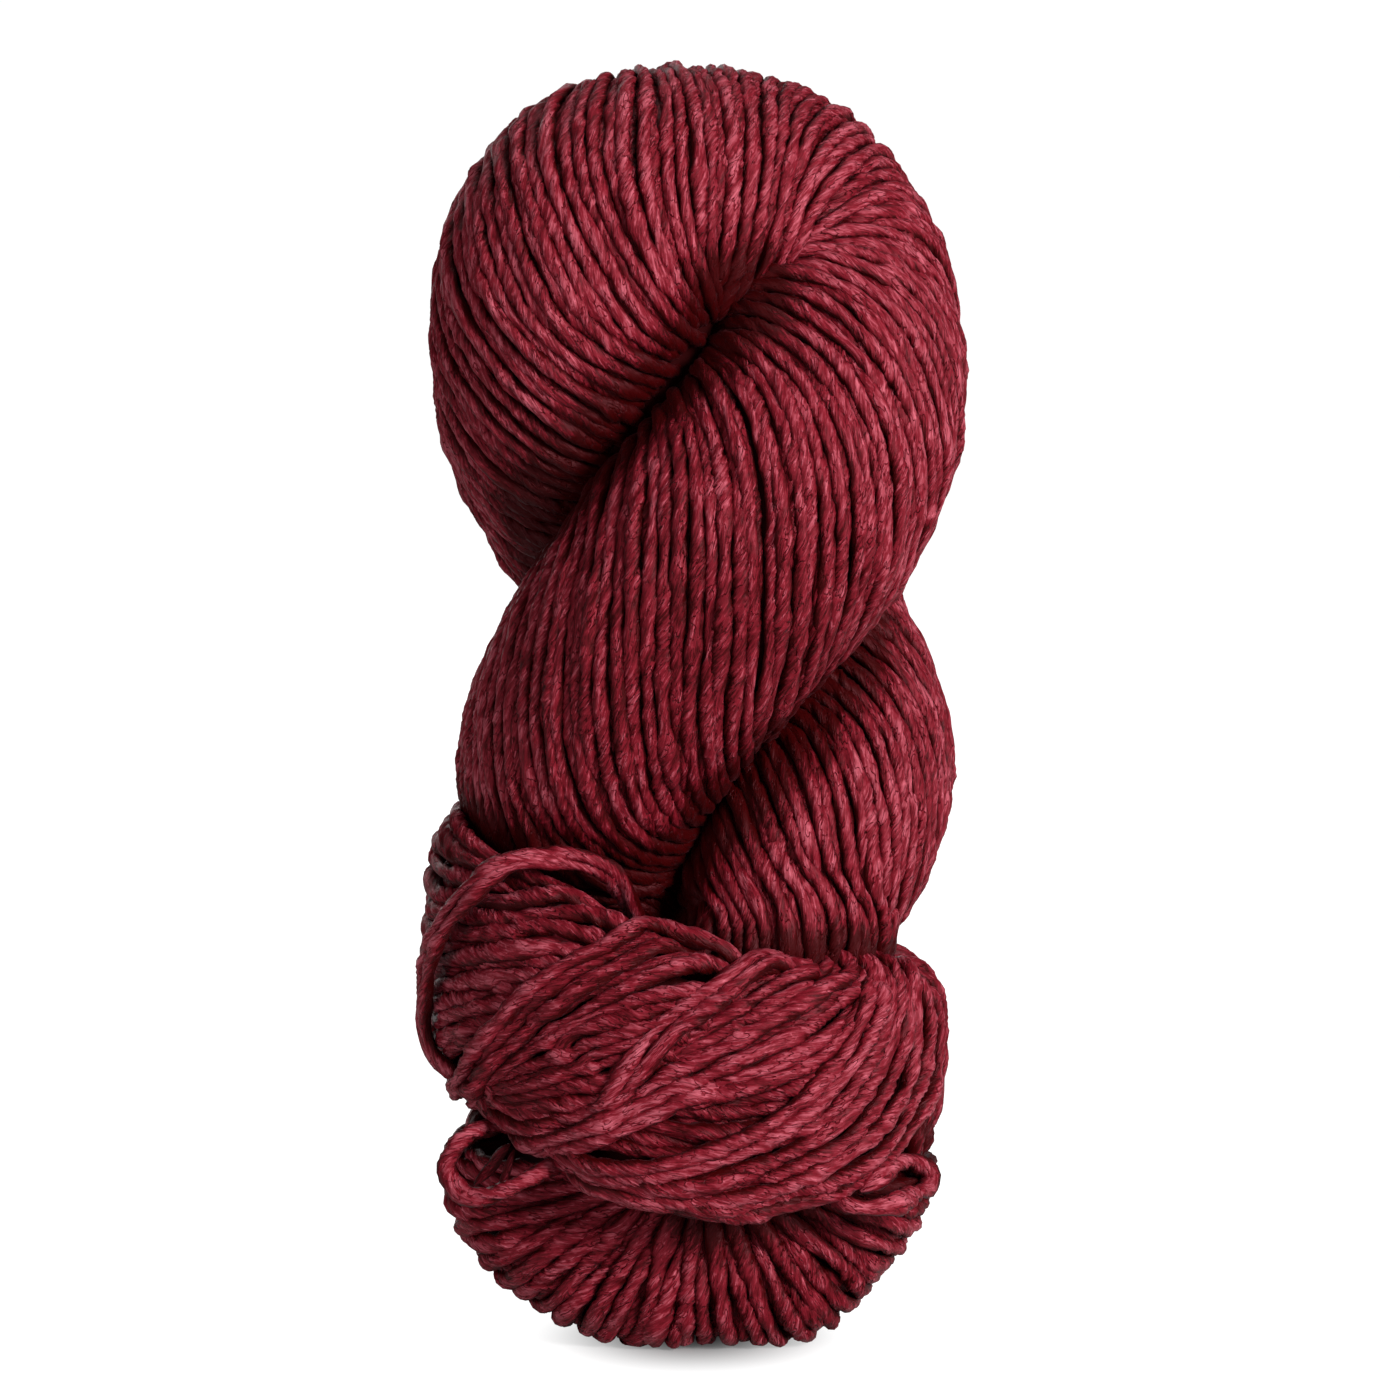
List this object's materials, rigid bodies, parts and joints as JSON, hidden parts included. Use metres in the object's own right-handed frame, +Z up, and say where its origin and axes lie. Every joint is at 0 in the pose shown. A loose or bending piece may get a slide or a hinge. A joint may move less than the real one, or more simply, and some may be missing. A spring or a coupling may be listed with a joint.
{
  "type": "skein of silk yarn",
  "caption": "Twisted skein of soft red silk yarn: a hank folded into a thick two-ply rope with a rounded head, its end tucked through its own wrapped loop, standing on the tucked end.",
  "frame": {"origin": "centre of the skein's bounding box in plan, at the height of the flat it stands on", "axes": "+Z up along the twisted rope, -Y towards the front where one ply crosses from upper right to lower left, +X to the right of that front"},
  "size_m": [0.077, 0.0744, 0.18],
  "materials": {
    "silk": "soft plied silk yarn with a satin sheen"
  },
  "bodies": {
    "root": {"skein": "silk"}
  },
  "joints": []
}
